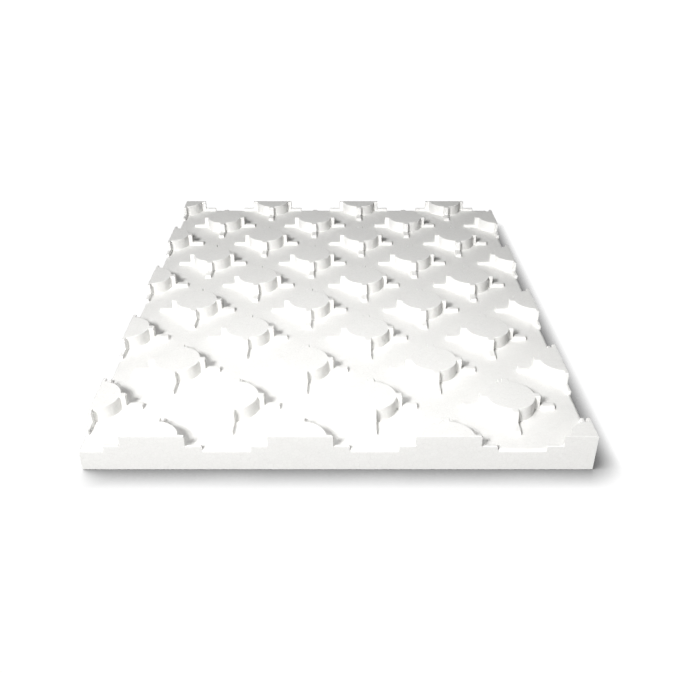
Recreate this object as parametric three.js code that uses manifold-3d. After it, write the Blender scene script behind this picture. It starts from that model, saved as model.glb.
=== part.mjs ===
// Knobbed laying board for underfloor heating pipe, moulded in one piece from expanded polystyrene foam.
// Sizes in millimetres. X runs along the rows of knobs, Y across them, Z up.
// The origin is at the centre of the underside.
import * as THREE from "three";
import { mergeVertices } from "three/addons/utils/BufferGeometryUtils.js";
import Module from "manifold-3d";

const wasm = await Module();
wasm.setup();

// The flat board
const boardWidth = 525; // along X
const boardLength = 675; // along Y
const baseThickness = 25; // underside to the floor of the pipe channels
const edgeRadius = 3; // rounding of the board's top edges

// The lattice the knobs stand on: each row is shifted by half a pitch against the one before
const knobPitch = 150; // centre to centre within a row
const rowSpacing = 75; // from one row to the next

// One knob: a round stud with four arms in a cross
const knobRadius = 27;
const knobHeight = 17; // above the channel floor
const armWidth = 8;
const armReach = 33; // full-height arm, from the knob's centre to its end
const ribReach = 50; // low rib that carries the arm on, from the knob's centre to its end
const ribHeight = 4.5; // above the channel floor

const knobSegments = 36;
const edgeSegments = 4;

const halfWidth = boardWidth / 2;
const halfLength = boardLength / 2;
// Knobs and ribs are rooted below the channel floor, so the cut ones end flush with the board's sides.
const rootDepth = edgeRadius;
const boardHeight = baseThickness + knobHeight;

function toSolid(geometry) {
  const bare = geometry.clone();
  bare.deleteAttribute("normal");
  bare.deleteAttribute("uv");
  const merged = mergeVertices(bare, 1e-4);
  const mesh = new wasm.Mesh({
    numProp: 3,
    vertProperties: Float32Array.from(merged.attributes.position.array),
    triVerts: Uint32Array.from(merged.index.array),
  });
  return new wasm.Manifold(mesh);
}

function toGeometry(solid) {
  const mesh = solid.getMesh();
  const geometry = new THREE.BufferGeometry();
  geometry.setAttribute("position", new THREE.BufferAttribute(mesh.vertProperties, 3));
  geometry.setIndex(new THREE.BufferAttribute(mesh.triVerts, 1));
  geometry.computeVertexNormals();
  return geometry;
}

// A slab's cross-section: square at the underside, rounded at its two top corners.
function slabProfile(halfSpan) {
  const inset = halfSpan - edgeRadius;
  const arcHeight = baseThickness - edgeRadius;
  const shape = new THREE.Shape();
  shape.moveTo(-halfSpan, 0);
  shape.lineTo(halfSpan, 0);
  shape.lineTo(halfSpan, arcHeight);
  shape.absarc(inset, arcHeight, edgeRadius, 0, Math.PI / 2, false);
  shape.lineTo(-inset, baseThickness);
  shape.absarc(-inset, arcHeight, edgeRadius, Math.PI / 2, Math.PI, false);
  shape.lineTo(-halfSpan, 0);
  return shape;
}

// The profile drawn across one direction and run along the other, centred on the origin.
function slab(halfSpan, runLength) {
  const settings = { depth: runLength, bevelEnabled: false, curveSegments: edgeSegments };
  const geometry = new THREE.ExtrudeGeometry(slabProfile(halfSpan), settings);
  geometry.translate(0, 0, -runLength / 2);
  geometry.rotateX(Math.PI / 2);
  return geometry;
}

// The flat board is where a slab rounded at its left and right edges
// and a slab rounded at its front and back edges overlap.
function flatBoard() {
  const roundedSides = slab(halfWidth, boardLength);
  const roundedEnds = slab(halfLength, boardWidth);
  roundedEnds.rotateZ(Math.PI / 2);
  return toSolid(roundedSides).intersect(toSolid(roundedEnds));
}

// Two crossed bars of one reach and height, standing on the root level.
function cross(reach, height) {
  const fullHeight = rootDepth + height;
  const along = new THREE.BoxGeometry(2 * reach, armWidth, fullHeight);
  const across = new THREE.BoxGeometry(armWidth, 2 * reach, fullHeight);
  const bars = toSolid(along).add(toSolid(across));
  return bars.translate([0, 0, baseThickness - rootDepth + fullHeight / 2]);
}

function knob() {
  const fullHeight = rootDepth + knobHeight;
  const stud = new THREE.CylinderGeometry(knobRadius, knobRadius, fullHeight, knobSegments);
  stud.rotateX(Math.PI / 2);
  stud.translate(0, 0, baseThickness - rootDepth + fullHeight / 2);
  return toSolid(stud).add(cross(armReach, knobHeight)).add(cross(ribReach, ribHeight));
}

// Knob centres over the whole board, with those just outside it whose ribs still reach in.
// The first row lies on the front edge, so its knobs are halved.
function knobCentres() {
  const centres = [];
  const lastRow = Math.ceil((boardLength + ribReach) / rowSpacing);
  const lastColumn = Math.ceil((boardWidth + ribReach) / knobPitch);
  for (let row = 0; row <= lastRow; row += 1) {
    const shift = row % 2 === 0 ? knobPitch / 2 : 0;
    for (let column = -1; column <= lastColumn; column += 1) {
      centres.push([shift + column * knobPitch - halfWidth, row * rowSpacing - halfLength]);
    }
  }
  return centres;
}

function board() {
  const oneKnob = knob();
  const knobs = knobCentres().map(([x, y]) => oneKnob.translate([x, y, 0]));
  const outline = new THREE.BoxGeometry(boardWidth, boardLength, boardHeight);
  outline.translate(0, 0, boardHeight / 2);
  const trimmed = wasm.Manifold.union(knobs).intersect(toSolid(outline));
  return flatBoard().add(trimmed);
}

const foam = new THREE.MeshStandardMaterial({ color: 0xf2f2ef, roughness: 0.85, metalness: 0 });
const boardMesh = new THREE.Mesh(toGeometry(board()), foam);
boardMesh.name = "board";

const part = new THREE.Group();
part.add(boardMesh);

export default part;
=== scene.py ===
# %% [markdown]
# # A foam board that holds heating pipe
# This board lies under a heated floor. Round knobs stand on it in staggered rows, and the heating pipe
# is pressed into the straight lanes between them. Four arms in a cross grip the pipe, and each arm
# runs on as a low rib that holds the pipe clear of the board.
# The whole board is one moulding of white polystyrene foam, so it is one mesh here.
# It could be put together from cylinders and boxes, but then every edge would be razor sharp and the
# joins would show. We work out its skin instead: a plan of points, and one rule for how high each lies.

import math

import bpy
import numpy as np
from mathutils import Euler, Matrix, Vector


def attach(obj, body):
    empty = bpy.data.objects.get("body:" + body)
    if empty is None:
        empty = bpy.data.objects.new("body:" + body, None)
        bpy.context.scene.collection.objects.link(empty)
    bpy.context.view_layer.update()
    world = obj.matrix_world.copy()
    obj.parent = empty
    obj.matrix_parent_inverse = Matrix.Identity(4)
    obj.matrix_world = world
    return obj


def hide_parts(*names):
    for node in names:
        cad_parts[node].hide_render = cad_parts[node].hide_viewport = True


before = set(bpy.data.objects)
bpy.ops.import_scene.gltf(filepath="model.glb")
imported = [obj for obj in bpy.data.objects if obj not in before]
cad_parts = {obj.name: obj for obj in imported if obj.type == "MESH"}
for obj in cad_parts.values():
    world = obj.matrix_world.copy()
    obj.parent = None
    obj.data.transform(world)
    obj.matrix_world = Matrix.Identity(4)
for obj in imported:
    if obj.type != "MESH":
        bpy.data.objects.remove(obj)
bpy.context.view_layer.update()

# %% [markdown]
# ## The sizes of the board
# All sizes are in millimetres and become metres only when the mesh is made. The origin is the centre
# of the underside. X runs along the rows of knobs, Y across them and Z up.

# %% Sizes
MM = 0.001
BOARD_WIDTH = 525.0
BOARD_LENGTH = 675.0
FLOOR_LEVEL = 25.0  # top of the flat board, the floor of the pipe lanes
RIB_LEVEL = 29.5
KNOB_LEVEL = 42.0
ROW_SPACING = 75.0
KNOB_PITCH = 2 * ROW_SPACING
KNOB_RADIUS = 27.0
ARM_HALF_WIDTH = 4.0
ARM_REACH = 33.0
RIB_REACH = 50.0
half_size = np.array([BOARD_WIDTH, BOARD_LENGTH]) / 2
print("board", BOARD_WIDTH, "by", BOARD_LENGTH, "by", KNOB_LEVEL, "mm")

# %% [markdown]
# ## The wall of a knob
# Moulded foam has no sharp edges. Each wall leaves its top over a small quarter circle, falls a little
# outwards so that the piece comes out of its mould, and meets the floor in another quarter circle.
# A Bevel modifier could round the edges, but where a tall arm runs into a low rib its corners overlap.
# So the rounding is written into the height itself, as a function of the distance from the wall's line.

# %% The wall's profile
RIM_RADIUS = 0.9
FOOT_RADIUS = 0.8
WALL_LEAN = 0.2
ROUND_STEPS = 2


def wall_offsets():
    """Distances from a wall's line, outwards positive, where its profile has points.

    The rim is RIM_RADIUS * (sin(turn) - 1) and the foot WALL_LEAN + FOOT_RADIUS * (1 - cos(turn)),
    with turn from 0 to a quarter circle.
    """
    turn = np.linspace(0, np.pi / 2, ROUND_STEPS + 1)
    rim = RIM_RADIUS * (np.sin(turn) - 1)
    foot = WALL_LEAN + FOOT_RADIUS * (1 - np.cos(turn))
    return np.concatenate([rim, foot])


def wall_height(offset, height):
    """Height of a wall at a distance from its line: full inside, 0 outside.

    Over the rim it is the height, less the radius, plus the root of radius squared less distance
    squared. The lean is a straight line, and the foot is the same quarter circle turned over.
    """
    over_rim = np.clip(offset + RIM_RADIUS, 0, RIM_RADIUS)
    rim = height - RIM_RADIUS + np.sqrt(RIM_RADIUS**2 - over_rim**2)
    rim_end = height - RIM_RADIUS
    lean = rim_end + (FOOT_RADIUS - rim_end) * np.clip(offset / WALL_LEAN, 0, 1)
    into_foot = np.clip(WALL_LEAN + FOOT_RADIUS - offset, 0, FOOT_RADIUS)
    foot = FOOT_RADIUS - np.sqrt(FOOT_RADIUS**2 - into_foot**2)
    return np.where(offset <= 0, rim, np.where(offset < WALL_LEAN, lean, foot))


offsets = wall_offsets()
print("wall profile points at", np.round(offsets, 2), "mm from its line")

# %% [markdown]
# ## The height of the skin
# Seen from above, a knob is a disc and a cross laid over each other. The distance to their joint
# outline is the smaller of the two distances, which is how two shapes are merged in this kind of
# modelling. The rib is the same cross with a longer reach, and the knob stands on it.

# %% Height at a place on the plan
BOARD_EDGE_ROUNDING = 3.0
CUT_EDGE_ROUNDING = 0.4


def arm_offset(along, across, reach):
    """Distance outside an arm whose two end corners are rounded by the rim's radius.

    Both distances are measured from lines that far inside its side and its end. Past both lines they
    are two legs of a right triangle, and elsewhere the larger one counts.
    """
    past = np.stack([across - ARM_HALF_WIDTH, along - reach]) + RIM_RADIUS
    return np.hypot(*np.clip(past, 0, None)) + np.clip(past.max(0), None, 0) - RIM_RADIUS


def skin_height(local):
    """Height at a point given by its distances from a knob's centre along two of its arms.

    The ribs rise from the floor, and the knob rises from whatever the ribs have reached.
    """
    along, across = local.max(-1), local.min(-1)
    rib = wall_height(arm_offset(along, across, RIB_REACH), RIB_LEVEL - FLOOR_LEVEL)
    lower = FLOOR_LEVEL + rib
    disc_offset = np.hypot(along, across) - KNOB_RADIUS
    knob_offset = np.minimum(disc_offset, arm_offset(along, across, ARM_REACH))
    return lower + wall_height(knob_offset, KNOB_LEVEL - lower)


def edge_drop(inset, radius):
    """How far a rounded edge lies below its level: radius less the root of radius squared less
    the square of what is left of the radius at this inset from the side."""
    left = np.clip(radius - inset, 0, radius)
    return radius - np.sqrt(radius**2 - left**2)


def round_board_edges(place, height):
    """The floor's edge is well rounded all round the board, and the cut knobs and ribs only a little.
    Between the two levels the drop goes from one to the other in a straight line."""
    inset = (half_size - np.abs(place)).min(-1)
    raised = np.clip((height - FLOOR_LEVEL) / (RIB_LEVEL - RIM_RADIUS - FLOOR_LEVEL), 0, 1)
    floor_drop = edge_drop(inset, BOARD_EDGE_ROUNDING)
    cut_drop = edge_drop(inset, CUT_EDGE_ROUNDING)
    return height - floor_drop * (1 - raised) - cut_drop * raised


for name, spot in {"knob": (10, 10), "arm": (30, 0), "rib": (45, 0), "lane": (40, 30)}.items():
    print(name, "height", round(float(skin_height(np.array(spot, float))), 2), "mm")

# %% [markdown]
# ## The plan of one wedge
# The pattern repeats in diamonds, one to each knob, and a diamond is eight mirrored copies of one
# narrow wedge: from the knob's centre out to the tip of its rib, and up to the diagonal.
# A plain square grid would cut across every round wall. The wedge's grids follow the walls instead:
# one runs round the disc, one goes along the arm, and the flat parts between are single faces.

# %% Stations across the arm and along it
EDGE_STEPS = 3
ARC_STEPS = 8
edge_turn = np.linspace(0, np.pi / 2, EDGE_STEPS + 1)[:-1]
edge_stations = BOARD_EDGE_ROUNDING * (1 - np.cos(edge_turn))
side_stations = ARM_HALF_WIDTH + offsets
across_stations = np.concatenate([edge_stations, side_stations])
along_stations = np.concatenate([ARM_REACH + offsets, RIB_REACH + offsets])
side_start = len(edge_stations)
tip_stations = across_stations[: side_start + 1]
print("across the arm", np.round(across_stations, 2))
print("along the arm", np.round(along_stations, 2))


# %% Grids of plan points
def arc_grid():
    """Points round the disc: radius = disc radius + offset, angle from the arm's side to 45 degrees."""
    radius = KNOB_RADIUS + offsets
    first = np.arcsin(side_stations / radius)
    share = np.linspace(0, 1, ARC_STEPS + 1)
    angle = first[:, None] + (np.pi / 4 - first)[:, None] * share
    return radius[:, None, None] * np.stack([np.cos(angle), np.sin(angle)], -1)


def arm_grid():
    """Points along the arm: every along station against every across station."""
    return np.stack(np.meshgrid(along_stations, across_stations), -1)


def tip_grid():
    """Points near the diamond's tip, at the same small distances from it both ways."""
    back, across = np.meshgrid(tip_stations, tip_stations)
    return np.stack([ROW_SPACING - back, across], -1)


def outer_line():
    """Where the arm's side lines meet the diamond's edge, on which the two distances add up to it."""
    return np.stack([ROW_SPACING - side_stations, side_stations], -1)


arc, arm, tip, outer = arc_grid(), arm_grid(), tip_grid(), outer_line()
centre_square = np.array([[0.0, 0.0], [edge_stations[1], edge_stations[1]]])
diagonal_end = np.array([[ROW_SPACING / 2, ROW_SPACING / 2]])
plan = np.concatenate([grid.reshape(-1, 2) for grid in (arc, arm, tip, outer, centre_square, diagonal_end)])
print("plan of a wedge:", len(plan), "points")


# %% Numbers of the plan points in each grid
def numbered(shape, start):
    """Whole numbers from start, in the shape of a grid."""
    return start + np.arange(int(np.prod(shape))).reshape(shape)


arc_ids = numbered(arc.shape[:2], 0)
arm_ids = numbered(arm.shape[:2], arc_ids.max() + 1)
tip_ids = numbered(tip.shape[:2], arm_ids.max() + 1)
outer_ids = numbered((len(outer),), tip_ids.max() + 1)
centre_id, corner_id = numbered((2,), outer_ids.max() + 1)
diagonal_id = corner_id + 1


def grid_faces(ids):
    """The four corners of each cell of a numbered grid, as one row per face."""
    return np.stack([ids[:-1, :-1], ids[:-1, 1:], ids[1:, 1:], ids[1:, :-1]], -1).reshape(-1, 4)


# %% Faces of the wedge
def wedge_faces():
    """Every face of the wedge as a list of point numbers, the flat parts as one face each."""
    faces = list(grid_faces(arm_ids)) + list(grid_faces(arc_ids.T))
    # from the arc to the first station along the arm, and from its last station to the diamond's edge
    faces += list(grid_faces(np.stack([arc_ids[:, 0], arm_ids[side_start:, 0]], 1)))
    faces += list(grid_faces(np.stack([arm_ids[side_start:, -1], outer_ids], 1)))
    # the tip: squares below its diagonal, triangles on it
    near, far = np.tril_indices(side_start)[::-1]
    below = near < far
    low, high = near[below], far[below]
    squares = [tip_ids[low, high + 1], tip_ids[low, high], tip_ids[low + 1, high], tip_ids[low + 1, high + 1]]
    faces += list(np.stack(squares, -1))
    steps = np.arange(side_start)
    corners = [tip_ids[steps, steps + 1], tip_ids[steps, steps], tip_ids[steps + 1, steps + 1]]
    faces += list(np.stack(corners, -1))
    faces += list(grid_faces(np.stack([arm_ids[: side_start + 1, -1], tip_ids[:, -1]], 1)))
    # the knob's top: a narrow strip along the arm's middle, then all the rest
    faces.append(np.array([centre_id, arm_ids[0, 0], arm_ids[1, 0], corner_id]))
    knob_top = [[corner_id], arm_ids[1 : side_start + 1, 0], arc_ids[0]]
    faces.append(np.concatenate(knob_top))
    # the floor: round the disc's foot, along the arm and back down the diamond's edge
    floor = [arc_ids[-1, ::-1], arm_ids[-1], outer_ids[-1:], [diagonal_id]]
    faces.append(np.concatenate(floor))
    return faces


wedge = wedge_faces()
print("a wedge has", len(wedge), "faces")


# %% [markdown]
# ## Laying the wedge over the whole board
# Eight mirrored wedges make a diamond. Diamonds are laid on every knob, also on those that the board's
# edges cut in half, and only the wedges that lie on the board are kept. Since the board's edges run
# exactly through knob centres, nothing has to be trimmed. Mirroring a wedge turns its faces over, so
# the mirrored ones list their corners the other way round.

# %% Places of the knobs and the eight ways to turn a wedge
rows = np.arange(int(BOARD_LENGTH / ROW_SPACING) + 1)
columns = np.arange(int(BOARD_WIDTH / KNOB_PITCH) + 1)
shift = np.where(rows % 2 == 0, ROW_SPACING, 0.0)
knob_x = shift[:, None] + columns * KNOB_PITCH
knob_y = np.broadcast_to((rows * ROW_SPACING)[:, None], knob_x.shape)
knob_places = np.stack([knob_x, knob_y], -1).reshape(-1, 2) - half_size
signs = np.array([(x, y) for x in (1, -1) for y in (1, -1)])
straight = signs[:, :, None] * np.eye(2)
swapped = signs[:, :, None] * np.eye(2)[::-1]
turns = np.concatenate([straight, swapped])


def wedges_on_board():
    """The place and the turn of each wedge whose middle lies on the board."""
    middle = np.array([ROW_SPACING / 2, ROW_SPACING / 5])
    middles = knob_places[:, None] + turns @ middle
    return np.nonzero((np.abs(middles) < half_size).all(-1))


which_place, which_turn = wedges_on_board()
print(len(knob_places), "knobs carry", len(which_place), "wedges on the board")

# %% Points and faces of the whole skin
WELD_MM = 1e-4
placed = knob_places[which_place, None] + np.einsum("wij,pj->wpi", turns[which_turn], plan)
heights = round_board_edges(placed, skin_height(plan))
skin_points = np.concatenate([placed, heights[..., None]], -1)
face_sizes = np.array([len(face) for face in wedge])
corners = np.concatenate(wedge)
corners_turned = np.concatenate([face[::-1] for face in wedge])
mirrored = np.linalg.det(turns[which_turn]) < 0
skin_corners = np.where(mirrored[:, None], corners_turned, corners)
skin_corners = skin_corners + len(plan) * np.arange(len(which_place))[:, None]
skin_sizes = np.tile(face_sizes, len(which_place))


def weld(points, corner_ids):
    """Makes one point of those at the same place, and drops the points no face uses."""
    cells = np.round(points.reshape(-1, 3) / WELD_MM).astype(np.int64)
    _, first, joined = np.unique(cells, axis=0, return_index=True, return_inverse=True)
    used, renumbered = np.unique(joined.reshape(-1)[corner_ids.reshape(-1)], return_inverse=True)
    return points.reshape(-1, 3)[first[used]], renumbered.reshape(-1)


points, corner_ids = weld(skin_points, skin_corners)
print("skin:", len(points), "points,", len(skin_sizes), "faces")

# %% [markdown]
# ## The sides and the underside
# The skin's rim is found as the face sides that no second face shares. Each rim side gets a wall that
# goes straight down, then a small rounding, and one flat face closes the board underneath.

# %% Close the board


def rim_sides(corner_ids, sizes):
    """Start and end of each face side that runs one way only."""
    following = np.arange(1, len(corner_ids) + 1)
    last = np.cumsum(sizes) - 1
    following[last] = last - sizes + 1
    start, end = corner_ids, corner_ids[following]
    count = corner_ids.max() + 1
    return (side[~np.isin(start * count + end, end * count + start)] for side in (start, end))


rim_start, rim_end = rim_sides(corner_ids, skin_sizes)
rim = np.unique(rim_start)
around = np.argsort(np.arctan2(points[rim, 1], points[rim, 0]))
wall_foot = points[rim] * [1, 1, 0] + [0, 0, CUT_EDGE_ROUNDING]
sole_limit = half_size - CUT_EDGE_ROUNDING
sole = np.column_stack([np.clip(points[rim, :2], -sole_limit, sole_limit), np.zeros(len(rim))])
foot_ids = len(points) + np.searchsorted(rim, [rim_start, rim_end])
sole_ids = foot_ids + len(rim)
walls = np.stack([rim_end, rim_start, foot_ids[0], foot_ids[1]], -1)
roundings = np.stack([foot_ids[1], foot_ids[0], sole_ids[0], sole_ids[1]], -1)
underside = len(points) + len(rim) + around[::-1]
all_points = np.concatenate([points, wall_foot, sole])
all_corners = np.concatenate([corner_ids, walls.reshape(-1), roundings.reshape(-1), underside])
all_sizes = np.concatenate([skin_sizes, np.full(2 * len(rim_start), 4), [len(rim)]])
print("closed board:", len(all_points), "points,", len(all_sizes), "faces")


# %% Make the mesh
SHARP_ANGLE = math.radians(50)


def make_mesh(name, points_mm, corner_ids, sizes):
    """A Blender mesh from points in millimetres and faces of any number of corners."""
    mesh = bpy.data.meshes.new(name)
    mesh.vertices.add(len(points_mm))
    mesh.vertices.foreach_set("co", (points_mm * MM).astype(np.float32).reshape(-1))
    mesh.loops.add(len(corner_ids))
    mesh.loops.foreach_set("vertex_index", corner_ids.astype(np.int32))
    mesh.polygons.add(len(sizes))
    mesh.polygons.foreach_set("loop_start", (np.cumsum(sizes) - sizes).astype(np.int32))
    mesh.polygons.foreach_set("use_smooth", np.ones(len(sizes), bool))
    mesh.update(calc_edges=True)
    mesh.set_sharp_from_angle(angle=SHARP_ANGLE)
    return mesh


board_skin = bpy.data.objects.new("foam_board", make_mesh("foam_board", all_points, all_corners, all_sizes))
bpy.context.scene.collection.objects.link(board_skin)
even = board_skin.modifiers.new("even shading", "WEIGHTED_NORMAL")
even.mode = "FACE_AREA"
even.keep_sharp = True
one_sided = sum(len(side) for side in rim_sides(all_corners, all_sizes))
print("open sides:", one_sided, "- the board is", "closed" if one_sided == 0 else "open")

# %% [markdown]
# ## Writing shader maths as Python
# A pattern on foam is a sum of small formulas. Wired by hand, each plus sign is a node. The class below
# wraps a socket, so that 1 - mask * 0.1 adds the Math nodes by itself, and one method adds any other node.

# %% A small language for materials


class Wire:
    """The output of a node, on which + - and * add Math nodes."""

    def __init__(self, sheet, socket):
        self.sheet = sheet
        self.socket = socket

    def maths(self, operation, first, second):
        return self.sheet.node("ShaderNodeMath", {"operation": operation}, {0: first, 1: second})

    def __add__(self, other):
        return self.maths("ADD", self, other)

    def __sub__(self, other):
        return self.maths("SUBTRACT", self, other)

    def __rsub__(self, other):
        return self.maths("SUBTRACT", other, self)

    def __mul__(self, other):
        return self.maths("MULTIPLY", self, other)

    __radd__ = __add__
    __rmul__ = __mul__


class MaterialSheet:
    """A new material and the one method that adds nodes to it."""

    def __init__(self, name):
        self.material = bpy.data.materials.new(name)
        self.material.use_nodes = True
        self.tree = self.material.node_tree
        self.tree.nodes.clear()

    def node(self, kind, settings=None, sockets=None, output=0):
        """Adds a node, sets its settings first, then its sockets, and returns one output."""
        added = self.tree.nodes.new(kind)
        for name, value in (settings or {}).items():
            setattr(added, name, value)
        for name, value in (sockets or {}).items():
            if isinstance(value, Wire):
                self.tree.links.new(value.socket, added.inputs[name])
            else:
                added.inputs[name].default_value = value
        return Wire(self, added.outputs[output]) if len(added.outputs) else None

    def shade(self, **sockets):
        """Ends the sheet in one Principled shader with these sockets, spaces written as _."""
        named = {name.replace("_", " "): value for name, value in sockets.items()}
        shader = self.node("ShaderNodeBsdfPrincipled", None, named, "BSDF")
        self.node("ShaderNodeOutputMaterial", None, {"Surface": shader})
        return self.material


# %% [markdown]
# ## Moulded polystyrene foam
# The foam is thousands of little white beads, swollen by steam until they press flat against each
# other. On the moulded skin each bead shows as a many-sided patch a few millimetres across, with a
# hair-thin seam around it and a slightly different white. The seam is drawn darker as well, which is
# painted shade in the groove between the beads. A Voronoi texture is the same shape in mathematics:
# every point belongs to the nearest bead. Object coordinates keep the beads their true size on the top,
# the sides and the walls of the knobs alike.

# %% Foam material
BEADS_PER_METRE = 260.0
BEAD_RANDOMNESS = 0.9
SEAM_WIDTH = 0.07
SEAM_DEPTH_M = 0.00012
SKIN_GRAIN_PER_METRE = 1500.0
CLOUDS_PER_METRE = 14.0
NOISE_DETAIL = 2.0
FOAM_WHITE = (0.885, 0.88, 0.86, 1.0)
# FOAM_SHADE is the darker white: the beads' and clouds' own variation, and painted shade in the seams
FOAM_SHADE = (0.745, 0.74, 0.72, 1.0)
SHADE_SHARES = {"seam": 0.3, "bead": 0.15, "cloud": 0.12}
RELIEF_SHARES = {"bead": 0.35, "grain": 0.25}
SMOOTHEST_BEAD = 0.62
ROUGHNESS_SHARES = {"bead": 0.1, "seam": 0.15}
BUMP_STRENGTH = 0.5


def foam_material():
    """White = a mix of two whites by seam, bead and a slow cloud, the darker seams being painted shade;
    roughness and bump by the same beads.
    """
    sheet = MaterialSheet("white_foam")
    place = sheet.node("ShaderNodeTexCoord", output="Object")
    bead_sockets = {"Vector": place, "Scale": BEADS_PER_METRE, "Randomness": BEAD_RANDOMNESS}
    to_seam = sheet.node("ShaderNodeTexVoronoi", {"feature": "DISTANCE_TO_EDGE"}, bead_sockets, "Distance")
    bead_colour = sheet.node("ShaderNodeTexVoronoi", {"feature": "F1"}, bead_sockets, "Color")
    bead = sheet.node("ShaderNodeSeparateColor", None, {"Color": bead_colour}, "Red")
    range_sockets = {"Value": to_seam, "From Max": SEAM_WIDTH, "To Min": 1.0, "To Max": 0.0}
    seam = sheet.node("ShaderNodeMapRange", {"interpolation_type": "SMOOTHSTEP"}, range_sockets, "Result")
    cloud_sockets = {"Vector": place, "Scale": CLOUDS_PER_METRE, "Detail": NOISE_DETAIL}
    cloud = sheet.node("ShaderNodeTexNoise", None, cloud_sockets, "Fac")
    grain_sockets = {"Vector": place, "Scale": SKIN_GRAIN_PER_METRE, "Detail": NOISE_DETAIL}
    grain = sheet.node("ShaderNodeTexNoise", None, grain_sockets, "Fac")
    # the seam's share is painted shade in the grooves between beads; bead and cloud vary the foam's own white
    shade = seam * SHADE_SHARES["seam"] + bead * SHADE_SHARES["bead"] + cloud * SHADE_SHARES["cloud"]
    colour = sheet.node("ShaderNodeMix", {"data_type": "RGBA"}, {0: shade, 6: FOAM_WHITE, 7: FOAM_SHADE}, 2)
    relief = (1 - seam) + bead * RELIEF_SHARES["bead"] + grain * RELIEF_SHARES["grain"]
    bump_sockets = {"Height": relief, "Strength": BUMP_STRENGTH, "Distance": SEAM_DEPTH_M}
    bump = sheet.node("ShaderNodeBump", None, bump_sockets, "Normal")
    roughness = SMOOTHEST_BEAD + bead * ROUGHNESS_SHARES["bead"] + seam * ROUGHNESS_SHARES["seam"]
    return sheet.shade(Base_Color=colour, Roughness=roughness, Normal=bump)


board_skin.data.materials.append(foam_material())
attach(board_skin, "root")
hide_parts("board")
print("foam beads about", round(1000 / BEADS_PER_METRE, 1), "mm across")

# %% [markdown]
# ## Studio
# The board lies on a floor that shows pure white, as in a catalogue picture. A floor white enough for
# that would throw so much light back that the knobs lost their shading, so this one gives none to the
# board. It isn't lit either: it glows white, with a soft painted shadow in its glow close to the board,
# to the right and in front. Far out, where no shadow is painted, it curves up into a backdrop.

# %% Floor
FLOOR_RADIUS_M = 12.0
BACKDROP_RADIUS_M = 6.0
FLOOR_SIDES = 96
BACKDROP_STEPS = 12
FLOOR_GAP_M = 0.0002
FLOOR_WHITE = 1.05
SHADOW_REACH_M = 0.034
SHADOW_SAMPLES = 16
SHADOW_TONE = 0.12
FREE_IN_SHADOW = 0.45
FREE_OUTSIDE = 0.97
TOWARDS_BOARD = (-0.85, 0.32, 0.38)


def floor_material():
    """Emission = white times how much is free of the board in a half ball, from SHADOW_TONE to 1, which is a
    painted shadow.

    The half ball opens to the back left, so only the floor to the right and in front sees the board.
    """
    sheet = MaterialSheet("studio_floor")
    tilted = sheet.node("ShaderNodeCombineXYZ", None, dict(zip("XYZ", TOWARDS_BOARD)))
    hidden_sockets = {"Distance": SHADOW_REACH_M, "Normal": tilted}
    free = sheet.node("ShaderNodeAmbientOcclusion", {"samples": SHADOW_SAMPLES}, hidden_sockets, "AO")
    range_sockets = {"Value": free, "From Min": FREE_IN_SHADOW, "From Max": FREE_OUTSIDE}
    range_sockets |= {"To Min": SHADOW_TONE, "To Max": 1.0}
    # painted shadow: the glow dims where the board fills the tilted half ball
    painted_shadow_tone = sheet.node("ShaderNodeMapRange", None, range_sockets, "Result")
    white = sheet.node("ShaderNodeCombineColor", None, {"Red": painted_shadow_tone, "Green": painted_shadow_tone, "Blue": painted_shadow_tone}, "Color")
    sockets = {"Emission_Color": white, "Emission_Strength": FLOOR_WHITE, "Specular_IOR_Level": 0.0}
    return sheet.shade(Base_Color=(0.0, 0.0, 0.0, 1.0), Roughness=1.0, **sockets)


def studio_floor():
    """A round floor a hair below the board whose rim curves up into a backdrop, as rings of points.

    The curve is a quarter circle: radius grows with the sine of the turn, height with 1 - cosine.
    """
    turn = np.linspace(0, np.pi / 2, BACKDROP_STEPS + 1)
    radius = FLOOR_RADIUS_M + BACKDROP_RADIUS_M * np.sin(turn)
    height = BACKDROP_RADIUS_M * (1 - np.cos(turn)) - FLOOR_GAP_M
    angle = np.linspace(0, 2 * np.pi, FLOOR_SIDES, endpoint=False)
    ring = np.stack([np.cos(angle), np.sin(angle)], -1)
    flat = radius[:, None, None] * ring
    points = np.concatenate([flat, np.broadcast_to(height[:, None, None], flat.shape[:2] + (1,))], -1)
    ids = numbered(flat.shape[:2], 0)
    ids = np.column_stack([ids, ids[:, 0]])
    faces = grid_faces(ids)[:, ::-1].tolist() + [ids[0, :-1].tolist()]
    mesh = bpy.data.meshes.new("studio_floor")
    mesh.from_pydata(points.reshape(-1, 3).tolist(), [], faces)
    mesh.materials.append(floor_material())
    floor = bpy.data.objects.new("studio_floor", mesh)
    floor.visible_diffuse = False
    floor.visible_glossy = False
    floor.visible_shadow = False
    bpy.context.scene.collection.objects.link(floor)


studio_floor()
print("floor", 2 * FLOOR_RADIUS_M, "m across")

# %% [markdown]
# ## Light
# The picture was lit from the front left and above: every knob throws a soft shadow to the back right.
# A second, nearer lamp makes the front of the board the brightest, and a low one fills the front face.
# All are round area lamps, whose size sets how soft the shadows' edges are. The world around is brighter
# below the horizon, in place of the light a white floor would throw back.

# %% Lamps
LAMPS = {
    "key_lamp": {"place": (-1.05, -1.9, 1.65), "size": 0.6, "watts": 74.0},
    "near_lamp": {"place": (-0.03, -0.36, 0.5), "size": 0.3, "watts": 1.25},
    "front_fill": {"place": (0.4, -0.85, 0.08), "size": 0.3, "watts": 0.4},
}
SKY_STRENGTH = 0.06
LOWER_STRENGTH = 0.3
HORIZON_BLUR = 0.001


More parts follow.
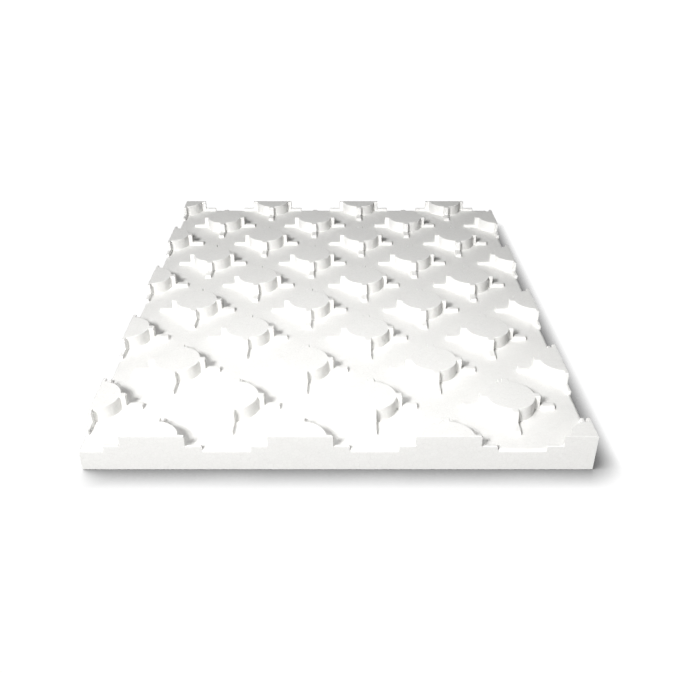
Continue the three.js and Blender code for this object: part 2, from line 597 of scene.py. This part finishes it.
def add_lamp(name, place, size, watts):
    """Adds a round area lamp at a place in metres, turned to shine on the middle of the board."""
    lamp = bpy.data.lights.new(name, "AREA")
    lamp.shape = "DISK"
    lamp.size = size
    lamp.energy = watts
    holder = bpy.data.objects.new(name, lamp)
    holder.location = place
    holder.rotation_euler = (-Vector(place)).to_track_quat("-Z", "Y").to_euler()
    bpy.context.scene.collection.objects.link(holder)


def studio_world():
    """White light of two strengths, one from above the horizon and one from below it."""
    world = bpy.data.worlds.new("studio_world")
    world.use_nodes = True
    nodes, links = world.node_tree.nodes, world.node_tree.links
    direction = nodes.new("ShaderNodeTexCoord")
    split = nodes.new("ShaderNodeSeparateXYZ")
    strength = nodes.new("ShaderNodeMapRange")
    strength.inputs["From Min"].default_value = -HORIZON_BLUR
    strength.inputs["From Max"].default_value = HORIZON_BLUR
    strength.inputs["To Min"].default_value = LOWER_STRENGTH
    strength.inputs["To Max"].default_value = SKY_STRENGTH
    links.new(direction.outputs["Generated"], split.inputs["Vector"])
    links.new(split.outputs["Z"], strength.inputs["Value"])
    links.new(strength.outputs["Result"], nodes["Background"].inputs["Strength"])
    nodes["Background"].inputs["Color"].default_value = (1.0, 1.0, 1.0, 1.0)
    return world


for lamp_name, lamp_values in LAMPS.items():
    add_lamp(lamp_name, **lamp_values)
bpy.context.scene.world = studio_world()
bpy.context.scene.view_settings.view_transform = "Standard"
print(len(LAMPS), "lamps")

# %% [markdown]
# ## Camera
# The camera stands in front of the board's middle and looks down at it by 30 degrees. Its lens is
# worked out from the photograph's size in pixels and the focal length in the same pixels, which the
# way the rows of knobs draw together towards the back gives.

# %% Camera
PHOTO_WIDTH_PX = 673
FOCAL_LENGTH_PX = 781.13
SENSOR_WIDTH_MM = 36.0
CAMERA_PLACE_M = (-0.00097, -0.96529, 0.52106)
CAMERA_PITCH_DEG = 30.03

camera_data = bpy.data.cameras.new("camera")
camera_data.sensor_width = SENSOR_WIDTH_MM
camera_data.lens = SENSOR_WIDTH_MM * FOCAL_LENGTH_PX / PHOTO_WIDTH_PX
camera = bpy.data.objects.new("camera", camera_data)
camera.location = CAMERA_PLACE_M
camera.rotation_euler = Euler((math.radians(90 - CAMERA_PITCH_DEG), 0, 0))
bpy.context.scene.collection.objects.link(camera)
bpy.context.scene.camera = camera
print("lens", round(camera_data.lens, 2), "mm")
